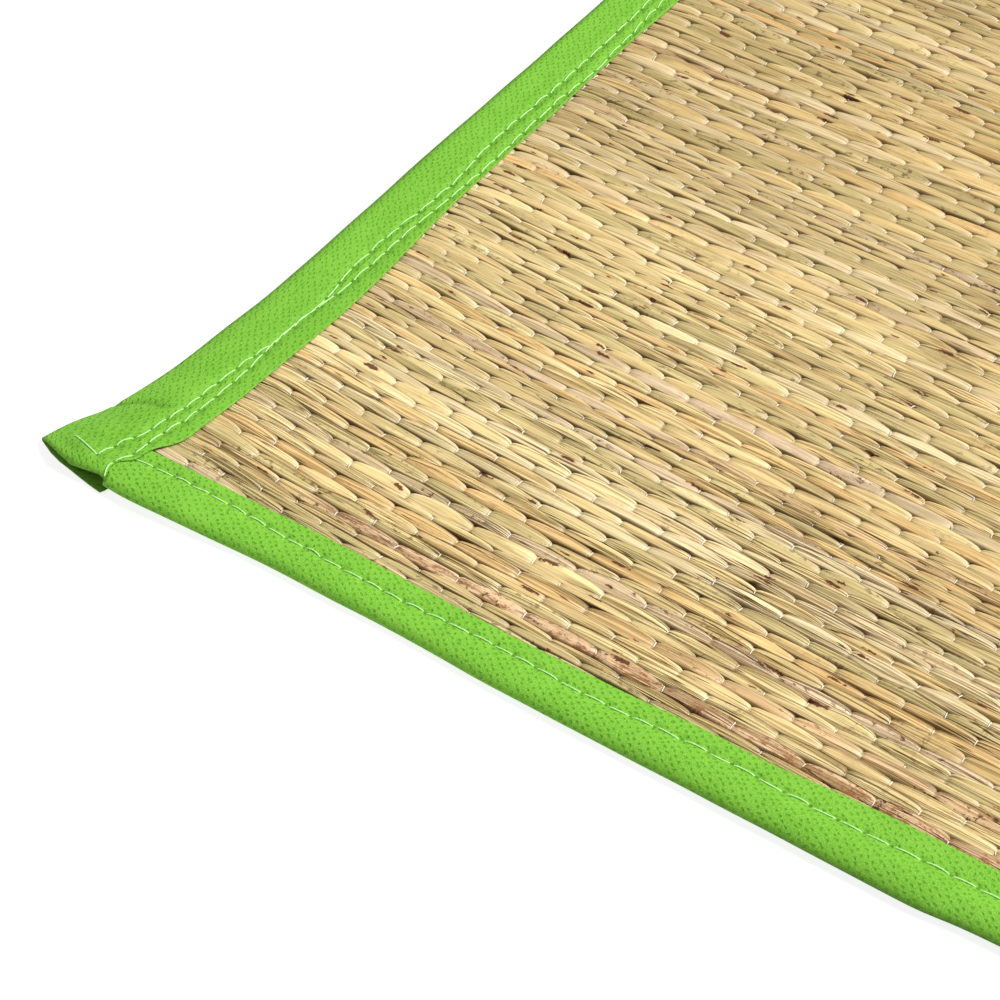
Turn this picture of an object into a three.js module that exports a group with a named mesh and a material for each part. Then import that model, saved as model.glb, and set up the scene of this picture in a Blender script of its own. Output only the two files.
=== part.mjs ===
// Grass meditation mat: a square sheet of flattened straws woven on cotton threads, bound on its four
// sides with folded strips of green non-woven tape. The side strips are sewn on last and lap over the
// ends of the two others, and at each corner their end is an open tube that flares outwards.
// Millimetres. +Z is up, -Y is the near edge, and the straws run along X. The mat lies on z = 0.
import * as THREE from "three";

const { clamp, lerp, smoothstep } = THREE.MathUtils;

// Driving sizes
const MAT_WIDTH = 600; // along X, over the side strips where they run straight
const MAT_DEPTH = 600; // along Y, over the two end strips
const STRAW_SHEET = 2.4; // thickness of the woven straws
const TAPE = 1; // thickness of one layer of tape
const SEAM_GAP = 0.3; // left between two pieces that are sewn together
const LAYER = TAPE + SEAM_GAP; // what one layer of tape lifts the layer above it by

// How the straw sheet sits in the folds of the tape
const SHEET_INSET = 5; // from the mat's edge to the edge of the straws
const SHEET_FOLLOWS = 0.5; // share of a corner's flare that the straws follow
const END_STRIP_TUCK = 2.5; // from the mat's side to the end of an end strip

// Where the straws settle from the height of the tape down to the floor
const SIDE_COVER = 30; // from the mat's side, the width that lies on a side strip
const END_COVER = 25; // from the near or far edge, the width that lies on an end strip
const SETTLE = 40; // length of the slope down to the floor
const LAP_EDGE = 24; // a side strip starts to come down this far from the near or far edge
const LAP_SLOPE = 8; // and takes this long to lie on the straws again

// A side strip's open end
const FLAT_FOLD = 1.3; // radius of the outer fold where the tube is empty
const FLAT_FLARE = 12; // flare at which the fold is as flat as that
const END_SLANT = 6.5; // how far the cut end runs back at the fold, at the full flare
const SLANT_LENGTH = 40; // the slant fades out over this length
const FULL_FLARE = 22; // flare of the near left corner at its very end

// Flare of a side strip beside a corner: how far it stands out, as a share of the full flare
const FLARE = [
  { from_end: 0, share: 1 },
  { from_end: 14, share: 0.77 },
  { from_end: 26, share: 0.48 },
  { from_end: 45, share: 0.27 },
  { from_end: 85, share: 0.14 },
  { from_end: 160, share: 0 },
];

// Each strip from its left or near end: how far its fold stands out of the mat's straight edge, and its
// width from the fold to its raw edge. The flare of the corners comes on top of this.
const NEAR_STRIP = [
  { along: 0, out: -0.4, width: 19.8 },
  { along: 40, out: -0.3, width: 19.9 },
  { along: 85, out: -2.1, width: 17.8 },
  { along: 130, out: -2.2, width: 17 },
  { along: 165, out: -0.9, width: 18.4 },
  { along: 210, out: 0.2, width: 20 },
  { along: 265, out: 1.8, width: 21.8 },
  { along: 310, out: 1.6, width: 22.6 },
  { along: 370, out: 0.5, width: 20.8 },
  { along: 450, out: -0.8, width: 19.2 },
  { along: 600, out: 0, width: 20 },
];
const FAR_STRIP = [
  { along: 0, out: 0, width: 20 },
  { along: 110, out: -0.8, width: 19.4 },
  { along: 240, out: 0.9, width: 20.8 },
  { along: 380, out: -0.4, width: 19.2 },
  { along: 600, out: 0.2, width: 20.4 },
];
const LEFT_STRIP = [
  { along: 0, out: 0, width: 26.4 },
  { along: 40, out: 0, width: 27.4 },
  { along: 90, out: 0, width: 28.2 },
  { along: 150, out: 0.2, width: 26 },
  { along: 215, out: -0.6, width: 24 },
  { along: 320, out: 0.4, width: 25.8 },
  { along: 450, out: -0.4, width: 25 },
  { along: 600, out: 0, width: 26 },
];
const RIGHT_STRIP = [
  { along: 0, out: 0, width: 26 },
  { along: 120, out: -0.5, width: 25.2 },
  { along: 260, out: 0.5, width: 26.4 },
  { along: 430, out: -0.3, width: 25.4 },
  { along: 600, out: 0, width: 26 },
];

// How much of the full flare each end of a side strip has
const LEFT_ENDS = { near: 1, far: 0.25 };
const RIGHT_ENDS = { near: 0.25, far: 0.2 };

// Where sections are taken, from one end of an edge: close together at the corner, wide in the middle
const STRIP_STATIONS = [0, 3, 6, 10, 14, 18, 22, 25, 28, 32, 38, 46, 56, 68, 85, 110, 140, 180, 230];
const SHEET_STATIONS = [0, 10, 18, 25, 32, 38, 46, 56, 68, 85, 110, 180];
const FOLD_STEPS = 4; // faces round an outer fold

// A smooth curve through one column of a table
function curveOf(table, place, value) {
  const curve = new THREE.CubicInterpolant(
    table.map((row) => row[place]),
    table.map((row) => row[value]),
    1,
  );
  return (at) => curve.evaluate(at)[0];
}

// Stations from one end of an edge to the other, from those at one corner
function bothEnds(corner, length) {
  const back = corner.map((at) => length - at).reverse();
  return [...corner, length / 2, ...back];
}

const flareShare = curveOf(FLARE, "from_end", "share");
const fromSide = (x) => MAT_WIDTH / 2 - Math.abs(x);
const fromEnd = (y) => MAT_DEPTH / 2 - Math.abs(y);
const sideCover = (x) => 1 - smoothstep(fromSide(x), SIDE_COVER, SIDE_COVER + SETTLE);
const endCover = (y) => 1 - smoothstep(fromEnd(y), END_COVER, END_COVER + SETTLE);
const lapCover = (y) => 1 - smoothstep(fromEnd(y), LAP_EDGE, LAP_EDGE + LAP_SLOPE);

// Underside and top of the straw sheet above the floor
const sheetBottom = (x, y) => LAYER * (sideCover(x) + endCover(y));
const sheetTop = (x, y) => sheetBottom(x, y) + STRAW_SHEET;

// How far a side strip's fold is out of the mat's straight edge for the corners alone
function flareAt(ends, along) {
  const near = ends.near * flareShare(along);
  const far = ends.far * flareShare(MAT_DEPTH - along);
  return FULL_FLARE * (near + far);
}

// A mesh from points and four-cornered faces, turned so that it faces out
function closedMesh(name, points, quads, material) {
  const triangles = quads.flatMap(([a, b, c, d]) => [[a, b, c], [a, c, d]]);
  const corner = (i) => new THREE.Vector3(...points[i]);
  const volume = triangles.reduce(
    (sum, [a, b, c]) => sum + corner(a).dot(corner(b).cross(corner(c))),
    0,
  );
  const facing = triangles.map(([a, b, c]) => (volume > 0 ? [a, b, c] : [a, c, b]));
  const geometry = new THREE.BufferGeometry();
  geometry.setAttribute("position", new THREE.Float32BufferAttribute(points.flat(), 3));
  geometry.setIndex(facing.flat());
  geometry.computeVertexNormals();
  const mesh = new THREE.Mesh(geometry, material);
  mesh.name = name;
  return mesh;
}

// The straw sheet: a flat slab whose borders lie on the tape and whose middle rests on the floor
function grassPanel() {
  const left = flareEdge(LEFT_ENDS, -1);
  const right = flareEdge(RIGHT_ENDS, 1);
  const acrossSteps = bothEnds(SHEET_STATIONS, MAT_WIDTH).map((at) => at / MAT_WIDTH);
  const alongSteps = bothEnds(SHEET_STATIONS, MAT_DEPTH).map((at) => at / MAT_DEPTH);
  const reach = MAT_DEPTH / 2 - SHEET_INSET;
  const columns = acrossSteps.length;
  const layerSize = columns * alongSteps.length;
  const points = [];
  for (const level of [sheetBottom, sheetTop]) {
    for (const t of alongSteps) {
      const y = lerp(-reach, reach, t);
      for (const s of acrossSteps) {
        const x = lerp(left(y), right(y), s);
        points.push([x, y, level(x, y)]);
      }
    }
  }
  const quads = [];
  const rows = alongSteps.length;
  const at = (layer, row, column) => layer * layerSize + row * columns + column;
  for (let row = 0; row + 1 < rows; row += 1) {
    for (let column = 0; column + 1 < columns; column += 1) {
      const cell = [
        [row, column],
        [row, column + 1],
        [row + 1, column + 1],
        [row + 1, column],
      ];
      quads.push(cell.map(([r, c]) => at(0, r, c)).reverse());
      quads.push(cell.map(([r, c]) => at(1, r, c)));
    }
  }
  for (let column = 0; column + 1 < columns; column += 1) {
    const next = column + 1;
    quads.push([at(0, 0, column), at(0, 0, next), at(1, 0, next), at(1, 0, column)]);
    const last = rows - 1;
    quads.push([at(0, last, next), at(0, last, column), at(1, last, column), at(1, last, next)]);
  }
  for (let row = 0; row + 1 < rows; row += 1) {
    const next = row + 1;
    quads.push([at(0, next, 0), at(0, row, 0), at(1, row, 0), at(1, next, 0)]);
    const last = columns - 1;
    quads.push([at(0, row, last), at(0, next, last), at(1, next, last), at(1, row, last)]);
  }
  const straw = new THREE.MeshStandardMaterial({ color: 0xd2b878, roughness: 0.7, metalness: 0 });
  return closedMesh("grass_panel", points, quads, straw);
}

// The side edge of the straw sheet, which follows the flare of the corners part of the way
function flareEdge(ends, side) {
  return (y) => {
    const flare = flareAt(ends, y + MAT_DEPTH / 2);
    return side * (MAT_WIDTH / 2 - SHEET_INSET + SHEET_FOLLOWS * flare);
  };
}

// One strip of folded tape. Its section is a U that opens towards the middle of the mat: the lower
// layer, the round outer fold, and the upper layer, each point paired with one on the inside.
//   fold(along)           place of the outer fold, out of the mat's straight edge
//   width(along)          from the fold to the raw edges
//   place(along, across)  x and y of a point, across being measured in from the straight edge
//   floor(x, y)           underside of the lower layer
//   top(x, y)             upper side of the upper layer
//   flare(along)          how far the strip flares out there
//   slant(along)          how far the section runs back at the fold
function foldedStrip({ name, stations, fold, width, place, floor, top, flare, slant, material }) {
  const outer = [];
  const inner = [];
  for (const along of stations) {
    const edge = -fold(along);
    const reach = width(along);
    const flat = clamp(flare(along) / FLAT_FLARE, 0, 1);
    const shoulder = SHEET_INSET - 1 + SHEET_FOLLOWS * flare(along);
    const at = (across) => {
      const back = slant(along) * (1 - across / reach);
      return place(along + back, edge + across);
    };
    const [x, y] = at(reach / 2);
    const radius = lerp((top(x, y) - floor(x, y)) / 2, FLAT_FOLD, flat);
    const section = [{ across: reach, up: 0, inside: [0, TAPE] }];
    for (let step = 0; step <= FOLD_STEPS; step += 1) {
      const turn = (Math.PI * step) / FOLD_STEPS;
      const out = Math.sin(turn);
      const down = Math.cos(turn);
      section.push({
        across: radius * (1 - out),
        up: radius * (1 - down),
        inside: [TAPE * out, TAPE * down],
      });
    }
    for (const share of [0.5, 1]) {
      const across = lerp(radius, shoulder, share);
      section.push({ across, rise: smoothstep(share, 0, 1), inside: [0, -TAPE] });
    }
    section.push({ across: reach, rise: 1, inside: [0, -TAPE] });
    for (const point of section) {
      const [px, py] = at(point.across);
      const low = floor(px, py);
      const foldTop = low + 2 * radius;
      const z = point.rise === undefined ? low + point.up : lerp(foldTop, top(px, py), point.rise);
      const [ix, iy] = at(point.across + point.inside[0]);
      outer.push([px, py, z]);
      inner.push([ix, iy, z + point.inside[1]]);
    }
  }
  const ring = outer.length / stations.length;
  const points = [...outer, ...inner];
  const skin = (layer, station, i) => layer * outer.length + station * ring + i;
  const quads = [];
  for (let s = 0; s + 1 < stations.length; s += 1) {
    for (let i = 0; i + 1 < ring; i += 1) {
      quads.push([skin(0, s, i), skin(0, s, i + 1), skin(0, s + 1, i + 1), skin(0, s + 1, i)]);
      quads.push([skin(1, s, i), skin(1, s + 1, i), skin(1, s + 1, i + 1), skin(1, s, i + 1)]);
    }
    quads.push([skin(0, s, 0), skin(0, s + 1, 0), skin(1, s + 1, 0), skin(1, s, 0)]);
    const last = ring - 1;
    quads.push([skin(0, s, last), skin(1, s, last), skin(1, s + 1, last), skin(0, s + 1, last)]);
  }
  const end = stations.length - 1;
  for (let i = 0; i + 1 < ring; i += 1) {
    quads.push([skin(0, 0, i), skin(1, 0, i), skin(1, 0, i + 1), skin(0, 0, i + 1)]);
    quads.push([skin(0, end, i), skin(0, end, i + 1), skin(1, end, i + 1), skin(1, end, i)]);
  }
  return closedMesh(name, points, quads, material);
}

// Green non-woven binding tape, one material for each strip
function tapeMaterial() {
  return new THREE.MeshStandardMaterial({ color: 0x7ccb38, roughness: 0.6, metalness: 0 });
}

// A strip on the near edge (side -1) or the far edge (side 1). Its ends lie on the side strips' lower
// layers and stop inside their folds.
function endStrip(name, side, table) {
  const stop = MAT_WIDTH - END_STRIP_TUCK;
  const between = bothEnds(STRIP_STATIONS, MAT_WIDTH).filter((at) => at > END_STRIP_TUCK && at < stop);
  return foldedStrip({
    name,
    stations: [END_STRIP_TUCK, ...between, stop],
    fold: curveOf(table, "along", "out"),
    width: curveOf(table, "along", "width"),
    place: (along, across) => [along - MAT_WIDTH / 2, side * (MAT_DEPTH / 2 - across)],
    floor: (x) => LAYER * sideCover(x),
    top: (x, y) => sheetTop(x, y) + LAYER,
    flare: () => 0,
    slant: () => 0,
    material: tapeMaterial(),
  });
}

// A strip on the left side (side -1) or the right side (side 1), over the end strips at both ends
function sideStrip(name, side, table, ends) {
  const out = curveOf(table, "along", "out");
  const flare = (along) => flareAt(ends, along);
  return foldedStrip({
    name,
    stations: bothEnds(STRIP_STATIONS, MAT_DEPTH),
    fold: (along) => out(along) + flare(along),
    width: curveOf(table, "along", "width"),
    place: (along, across) => [side * (MAT_WIDTH / 2 - across), along - MAT_DEPTH / 2],
    floor: () => 0,
    top: (x, y) => sheetTop(x, y) + LAYER + LAYER * lapCover(y),
    flare,
    slant: (along) => {
      const near = ends.near * (1 - smoothstep(along, 0, SLANT_LENGTH));
      const far = ends.far * (1 - smoothstep(MAT_DEPTH - along, 0, SLANT_LENGTH));
      return END_SLANT * (near - far);
    },
    material: tapeMaterial(),
  });
}

const mat = new THREE.Group();
mat.add(grassPanel());
mat.add(endStrip("binding_near", -1, NEAR_STRIP));
mat.add(endStrip("binding_far", 1, FAR_STRIP));
mat.add(sideStrip("binding_left", -1, LEFT_STRIP, LEFT_ENDS));
mat.add(sideStrip("binding_right", 1, RIGHT_STRIP, RIGHT_ENDS));

// The origin is the middle of the whole mat's outline, flared corners included, on the floor
const outline = new THREE.Box3().setFromObject(mat);
const middle = outline.getCenter(new THREE.Vector3());
mat.position.set(-middle.x, -middle.y, -outline.min.z);

export default mat;
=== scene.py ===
import math

import bpy
import numpy as np
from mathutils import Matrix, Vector


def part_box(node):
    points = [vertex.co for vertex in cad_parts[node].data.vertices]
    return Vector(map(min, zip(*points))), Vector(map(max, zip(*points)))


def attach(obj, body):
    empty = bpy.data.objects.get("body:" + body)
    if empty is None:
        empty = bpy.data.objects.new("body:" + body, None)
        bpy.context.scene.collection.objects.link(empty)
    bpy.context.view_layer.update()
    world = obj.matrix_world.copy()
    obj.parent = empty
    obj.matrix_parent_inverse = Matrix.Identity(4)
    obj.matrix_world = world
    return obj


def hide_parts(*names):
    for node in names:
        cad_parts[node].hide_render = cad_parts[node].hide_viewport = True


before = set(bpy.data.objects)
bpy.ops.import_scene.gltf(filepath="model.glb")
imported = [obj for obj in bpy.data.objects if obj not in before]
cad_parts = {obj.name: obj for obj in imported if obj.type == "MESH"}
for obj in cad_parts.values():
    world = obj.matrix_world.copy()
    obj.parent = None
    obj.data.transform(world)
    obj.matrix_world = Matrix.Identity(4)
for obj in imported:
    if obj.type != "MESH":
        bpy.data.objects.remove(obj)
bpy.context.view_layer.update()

# ------------------------------------------------------------
# Camera: a long lens in front of the near edge, well to the right, looks down over the near left corner.
# It aims at a point on top of the straws, a fifth of the way in from the left edge. The mat's straight
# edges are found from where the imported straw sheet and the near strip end.
MM = 0.001
SHEET_INSET = 5 * MM
STRIP_TUCK = 2.5 * MM
sheet_low, sheet_high = (np.array(corner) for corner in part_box("grass_panel"))
strip_low, strip_high = (np.array(corner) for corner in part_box("binding_near"))
LEFT = strip_low[0] - STRIP_TUCK
RIGHT = strip_high[0] + STRIP_TUCK
NEAR = sheet_low[1] - SHEET_INSET
FAR = sheet_high[1] + SHEET_INSET
WIDTH = RIGHT - LEFT
DEPTH = FAR - NEAR
AIM = Vector((LEFT + 122.2 * MM, NEAR + 65.3 * MM, 5 * MM))
AZIMUTH = math.radians(34.05)
ELEVATION = math.radians(45.3)
DISTANCE = 0.8986


def placed(name, data):
    """A new object that holds this data, linked into the scene."""
    made = bpy.data.objects.new(name, data)
    bpy.context.collection.objects.link(made)
    return made


camera_data = bpy.data.cameras.new("camera")
camera_data.lens = 100
camera_data.sensor_width = 36
camera_data.clip_start = 0.01
camera = placed("camera", camera_data)
towards = Vector((
    math.sin(AZIMUTH) * math.cos(ELEVATION),
    -math.cos(AZIMUTH) * math.cos(ELEVATION),
    math.sin(ELEVATION),
))
camera.location = AIM + towards * DISTANCE
camera.rotation_euler = towards.to_track_quat("Z", "Y").to_euler()
bpy.context.scene.camera = camera

# ------------------------------------------------------------
# Straw sheet: flattened dried sedge stems laid side by side along X and woven plain on cotton threads.
# A thread presses each stem down at every second crossing, where it is narrow, and the stem arches
# over the next thread, where it is wide. Its neighbours do the opposite, so the arches interlock.
STRAW_COUNT = 149
THREAD_COUNT = 48
STRAW_THICKNESS = 1.2 * MM
ARCH = 0.52 * MM
PINCHED_WIDTH = 0.66
ARCHED_WIDTH = 1.14
SKIRT = 0.68
HANG = 0.8
SWAY = 0.5 * MM
UNDER_TAPE = 0.3
TAPE_PRESS = 0.3 * MM
UNDER_SIDE_TAPE = (22 * MM, 28 * MM)
UNDER_END_TAPE = (17 * MM, 22 * MM)
SETTLE_FROM_SIDE = 30 * MM
SETTLE_FROM_END = 25 * MM
SETTLE_LENGTH = 40 * MM
LAYER = 1.3 * MM
SHEET_MIDDLE = 1.3 * MM
FULL_FLARE = 22 * MM
FLARE_FROM_END = np.array([0, 14, 26, 45, 85, 160]) * MM
FLARE_SHARE = np.array([1, 0.77, 0.48, 0.27, 0.14, 0])
SHEET_FOLLOWS = 0.5
LEFT_FLARES = (1, 0.25)
RIGHT_FLARES = (0.25, 0.2)
LEAN = 14 * MM
LEAN_AT = np.array([0, 60, 120, 190, 260, 330, 400, 600]) * MM
LEAN_SHARE = np.array([1, 0.74, 0.51, 0.31, 0.15, 0.05, 0, 0])
LEAN_TURNED = 0.35
LEAN_TURNS = (90 * MM, 300 * MM)
LEAN_ENDS = (330 * MM, 560 * MM)
NUDGE = 1 * MM
STAINED = 5

rng = np.random.default_rng(11)


def smooth_curve(at, knots, values):
    """A smooth curve through the knots: cubic between two knots, with the mean slope of its neighbours."""
    at = np.clip(np.asarray(at, float), knots[0], knots[-1])
    slope = np.gradient(values, knots)
    i = np.clip(np.searchsorted(knots, at, side="right") - 1, 0, len(knots) - 2)
    step = knots[i + 1] - knots[i]
    t = (at - knots[i]) / step
    start = (1 + 2 * t) * (1 - t) ** 2 * values[i] + t ** 2 * (3 - 2 * t) * values[i + 1]
    return start + step * (t * (1 - t) ** 2 * slope[i] + t ** 2 * (t - 1) * slope[i + 1])


def smooth_step(at, start, end):
    """0 before start, 1 after end, and an S-shaped cubic between them."""
    t = np.clip((np.asarray(at, float) - start) / (end - start), 0, 1)
    return t * t * (3 - 2 * t)


def bell(distance, width):
    """1 at no distance, falling away on both sides like a bell curve."""
    return np.exp(-((distance / width) ** 2))


def side_flare(y, flares):
    """How far a side strip stands out for its two corners, which fade out with distance from the ends."""
    near = flares[0] * smooth_curve(y - NEAR, FLARE_FROM_END, FLARE_SHARE)
    far = flares[1] * smooth_curve(FAR - y, FLARE_FROM_END, FLARE_SHARE)
    return FULL_FLARE * (near + far)


def raised(from_edge, settle_from):
    """1 over an edge's lower layer of tape, settling to 0 farther in from the edge."""
    return 1 - smooth_step(from_edge, settle_from, settle_from + SETTLE_LENGTH)


def sheet_bottom(x, y):
    """Underside of the straws: one layer of tape high at an edge, two at a corner, and 0 in the middle."""
    sides = raised(np.minimum(x - LEFT, RIGHT - x), SETTLE_FROM_SIDE)
    ends = raised(np.minimum(y - NEAR, FAR - y), SETTLE_FROM_END)
    return LAYER * (sides + ends)


def askew(x, y):
    """How far the straws are set away from the near edge: they were woven a little askew, most of all at
    the left side. This fades out to the right, turns over a third of the way up the mat, and ends
    before its far edge."""
    up_the_mat = y - NEAR
    share = 1 - (1 + LEAN_TURNED) * smooth_step(up_the_mat, *LEAN_TURNS)
    share = share + LEAN_TURNED * smooth_step(up_the_mat, *LEAN_ENDS)
    return LEAN * smooth_curve(x - LEFT, LEAN_AT, LEAN_SHARE) * share


def ripple(x, waves):
    """A sum of sines of x, one row of random phases and heights for each straw: slow natural wandering."""
    total = 0
    for length, height in waves:
        phase = rng.uniform(0, 2 * np.pi, (x.shape[0], 1))
        size = height * rng.normal(1, 0.3, (x.shape[0], 1))
        total = total + size * np.sin(2 * np.pi * x / length + phase)
    return total


# Straw widths: mostly 4 mm, with a few bands of thinner stems, one of them beside the near strip,
# scaled to fill the sheet exactly
pitch = np.clip(rng.normal(1, 0.17, STRAW_COUNT), 0.62, 1.4)
band = np.sin(np.arange(STRAW_COUNT) * 0.21 + 1.1) + np.sin(np.arange(STRAW_COUNT) * 0.53)
thin_band = smooth_step(band, 0.6, 1.5)
thin_band[:STAINED] = 1
pitch *= 1 - 0.26 * thin_band
pitch[STAINED] = 1.1
pitch *= (sheet_high[1] - sheet_low[1]) / pitch.sum()
straw_y = sheet_low[1] + np.cumsum(pitch) - pitch / 2

# Crossings of straw i and thread j: pressed where i + j is even
straw_index = np.arange(STRAW_COUNT)[:, None]
thread_index = np.arange(THREAD_COUNT + 1)[None, :]
pressed = (straw_index + thread_index) % 2 == 0
pinched = rng.normal(PINCHED_WIDTH, 0.1, pressed.shape)
crossing_width = np.where(pressed, pinched, rng.normal(ARCHED_WIDTH, 0.1, pressed.shape))
crossing_height = np.where(pressed, -ARCH, ARCH + rng.normal(0, 0.1 * MM, pressed.shape))
crossing_shift = rng.normal(0, 0.15 * MM, pressed.shape)
crossing_tilt = rng.normal(0, 0.12, pressed.shape)

# Places of the threads across the sheet, as a share of its width: nearly even, a little closer at first
thread_gap = rng.normal(1, 0.05, THREAD_COUNT)
thread_gap[:2] *= 0.8
thread_share = np.concatenate([[0], np.cumsum(thread_gap)]) / thread_gap.sum()

# Stations along a straw, in threads, close together where it is pressed
PERIOD = np.array([0, 0.05, 0.13, 0.26, 0.5, 1, 1.5, 1.74, 1.87, 1.95])
STATIONS = np.sort(np.concatenate([PERIOD + 2 * k for k in range(THREAD_COUNT // 2)] + [[THREAD_COUNT]]))
ODD_STATIONS = np.concatenate([STATIONS[5:] - 1, THREAD_COUNT - 1 + PERIOD[1:6]])
stations = np.where(straw_index % 2 == 0, STATIONS, ODD_STATIONS)


def along_straw(values, s, steep=(0, 0), powers=(0.85, 0.85)):
    """Values at the crossings carried along each straw. From a pressed crossing they rise to the next
    arched one as a power of a quarter sine, and a share of the rise comes at once, as a short quarter
    ellipse. Each has one value to the right of the pressed crossing and one to its left."""
    before = np.clip(np.floor(s).astype(int), 0, THREAD_COUNT - 1)
    part = s - before
    rows = np.broadcast_to(straw_index, s.shape)
    leaving = (rows + before) % 2 == 0
    away = np.where(leaving, part, 1 - part)
    at_once = np.sqrt(1 - (1 - np.minimum(away / 0.2, 1)) ** 2)
    power = np.where(leaving, powers[0], powers[1])
    sudden = np.where(leaving, steep[0], steep[1])
    rise = sudden * at_once + (1 - sudden) * np.sin(np.pi / 2 * away) ** power
    share = np.where(leaving, rise, 1 - rise)
    return values[rows, before] * (1 - share) + values[rows, before + 1] * share


def place_along(s, y):
    """x of a station: the threads' uneven spacing, carried between the two flared side edges."""
    left = LEFT + SHEET_INSET - SHEET_FOLLOWS * side_flare(y, LEFT_FLARES)
    right = RIGHT - SHEET_INSET + SHEET_FOLLOWS * side_flare(y, RIGHT_FLARES)
    share = np.interp(s, np.arange(THREAD_COUNT + 1), thread_share)
    return left + (right - left) * share


even_y = straw_y[:, None]
straw_x = place_along(stations, even_y)
from_left = straw_x - LEFT
middle_y = even_y + along_straw(crossing_shift, stations)
middle_y = middle_y + ripple(straw_x, [(0.13, 0.12 * MM), (0.31, 0.2 * MM)])
middle_y = middle_y + SWAY * np.sin(straw_x / 0.047 + even_y / 0.09)
middle_y = middle_y + askew(straw_x, even_y)
crowding = askew(straw_x, even_y + NUDGE) - askew(straw_x, even_y - NUDGE)
in_from_side = np.minimum(from_left, RIGHT - straw_x)
in_from_end = np.minimum(middle_y - NEAR, FAR - middle_y)
under_tape = np.maximum(1 - smooth_step(in_from_side, *UNDER_SIDE_TAPE),
                        1 - smooth_step(in_from_end, *UNDER_END_TAPE))
weave_z = along_straw(crossing_height, stations, (0.45, 0.45)) * (1 - (1 - UNDER_TAPE) * under_tape)
middle_z = sheet_bottom(straw_x, middle_y) + SHEET_MIDDLE + weave_z - TAPE_PRESS * under_tape
half_width = pitch[:, None] / 2 * along_straw(crossing_width, stations, (0.3, 0.1), (1, 0.48))
half_width *= (1 + ripple(straw_x, [(0.05, 0.03), (0.021, 0.02)])) * (1 + crowding / (2 * NUDGE))
tilt = along_straw(crossing_tilt, stations) + ripple(straw_x, [(0.09, 0.05)])
tilt *= 1 - 0.75 * under_tape
pressed_share = along_straw(pressed.astype(float), stations)
half_thick = STRAW_THICKNESS / 2 * (1 + 0.1 * pressed_share) * rng.normal(1, 0.06, (STRAW_COUNT, 1))

# Section of a straw: six faces over the top, from one edge to the other, and two below. Its crest
# wanders from side to side. The edges lie low and reach under the neighbours, and painted shade darkens
# their colour, because hardly any light gets there. Where the straw arches, its edges and underside hang
# lower. The last two lines say which points stand in the gap on the near side and on the far side.
ACROSS = np.array([-1, -0.98, -0.82, 0, 0.82, 0.98, 1, 0])
UP = np.array([-0.7, 0.5, 0.84, 1, 0.84, 0.5, -0.7, -0.9])
FURROW = np.array([0, 0, 0, 1, 0, 0, 0, 0])
HANGS = np.array([1, 0, 0, 0, 0, 0, 1, 1])
EDGE_LIGHT = np.array([0, 0.38, 1, 1, 1, 0.38, 0, 0.5])
NEAR_GAP = np.array([1, 1, 0.35, 0, 0, 0, 0, 0])
FAR_GAP = np.array([0, 0, 0, 0, 0.35, 1, 1, 0])
furrow = np.where(rng.random((STRAW_COUNT, 1)) < 0.3, 0.55, 0.08) * (0.6 + ripple(straw_x, [(0.06, 0.25)]))
section = UP - furrow[..., None] * FURROW
crest = np.clip(ripple(straw_x, [(0.33, 0.3), (0.08, 0.2)]), -0.5, 0.5)
across = ACROSS + crest[..., None] * FURROW
skirt = np.maximum(half_width, SKIRT * pitch[:, None])
reach = np.where(np.abs(ACROSS) < 1, half_width[..., None], skirt[..., None])
hang = HANG * np.maximum(weave_z, 0)
turned_z = half_width[..., None] * tilt[..., None] * across - hang[..., None] * HANGS
wide_x = np.broadcast_to(straw_x[..., None], across.shape)
straw_points = np.stack([
    wide_x,
    middle_y[..., None] + reach * across,
    np.maximum(middle_z[..., None] + half_thick[..., None] * section + turned_z, 0),
], axis=-1)
straw_uv = np.stack([wide_x / MM, straw_index[..., None] + 0.5 + 0.5 * across], axis=-1)

# Straw colours in linear light, from pale gold to olive, pink and brown, each with how spotted such
# stems are, and how often they come. Each stem drifts slowly from one towards another along its length.
# The first stems beside the near strip are olive, pink at the left corner, and the stem next to them is
# stained reddish brown farther along.
STRAW_COLOURS = np.array([
    [0.779, 0.616, 0.314, 0.2],
    [0.747, 0.567, 0.279, 0.25],
    [0.801, 0.548, 0.254, 0.3],
    [0.677, 0.557, 0.274, 0.5],
    [0.613, 0.503, 0.247, 0.6],
    [0.715, 0.554, 0.376, 0.8],
    [0.731, 0.516, 0.317, 1],
    [0.79, 0.65, 0.398, 0.1],
])
STRAW_CHANCE = [0.31, 0.21, 0.12, 0.16, 0.07, 0.04, 0.01, 0.08]
first_colour = rng.choice(len(STRAW_CHANCE), STRAW_COUNT, p=STRAW_CHANCE)
second_colour = rng.choice(len(STRAW_CHANCE), STRAW_COUNT, p=STRAW_CHANCE)
first_colour[:STAINED + 1] = [4, 3, 4, 3, 1, 1]
second_colour[:STAINED + 1] = [3, 4, 5, 4, 3, 6]
drift = smooth_step(0.5 + ripple(straw_x, [(0.5, 0.38), (0.21, 0.16), (0.06, 0.02)]), 0.15, 1.1)
drift[STAINED] = smooth_step(from_left[STAINED], 55 * MM, 85 * MM)
straw_tint = STRAW_COLOURS[first_colour][:, None] * (1 - drift[..., None])
straw_tint = straw_tint + STRAW_COLOURS[second_colour][:, None] * drift[..., None]
straw_tint[..., :3] *= rng.normal(1, 0.042, (STRAW_COUNT, 1, 1))
at_corner = (1 - smooth_step(from_left[:2], 38 * MM, 60 * MM))[..., None]
pink = np.array([0.8, 0.61, 0.44])
straw_tint[:2, :, :3] += (pink - straw_tint[:2, :, :3]) * 0.6 * at_corner
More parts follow.
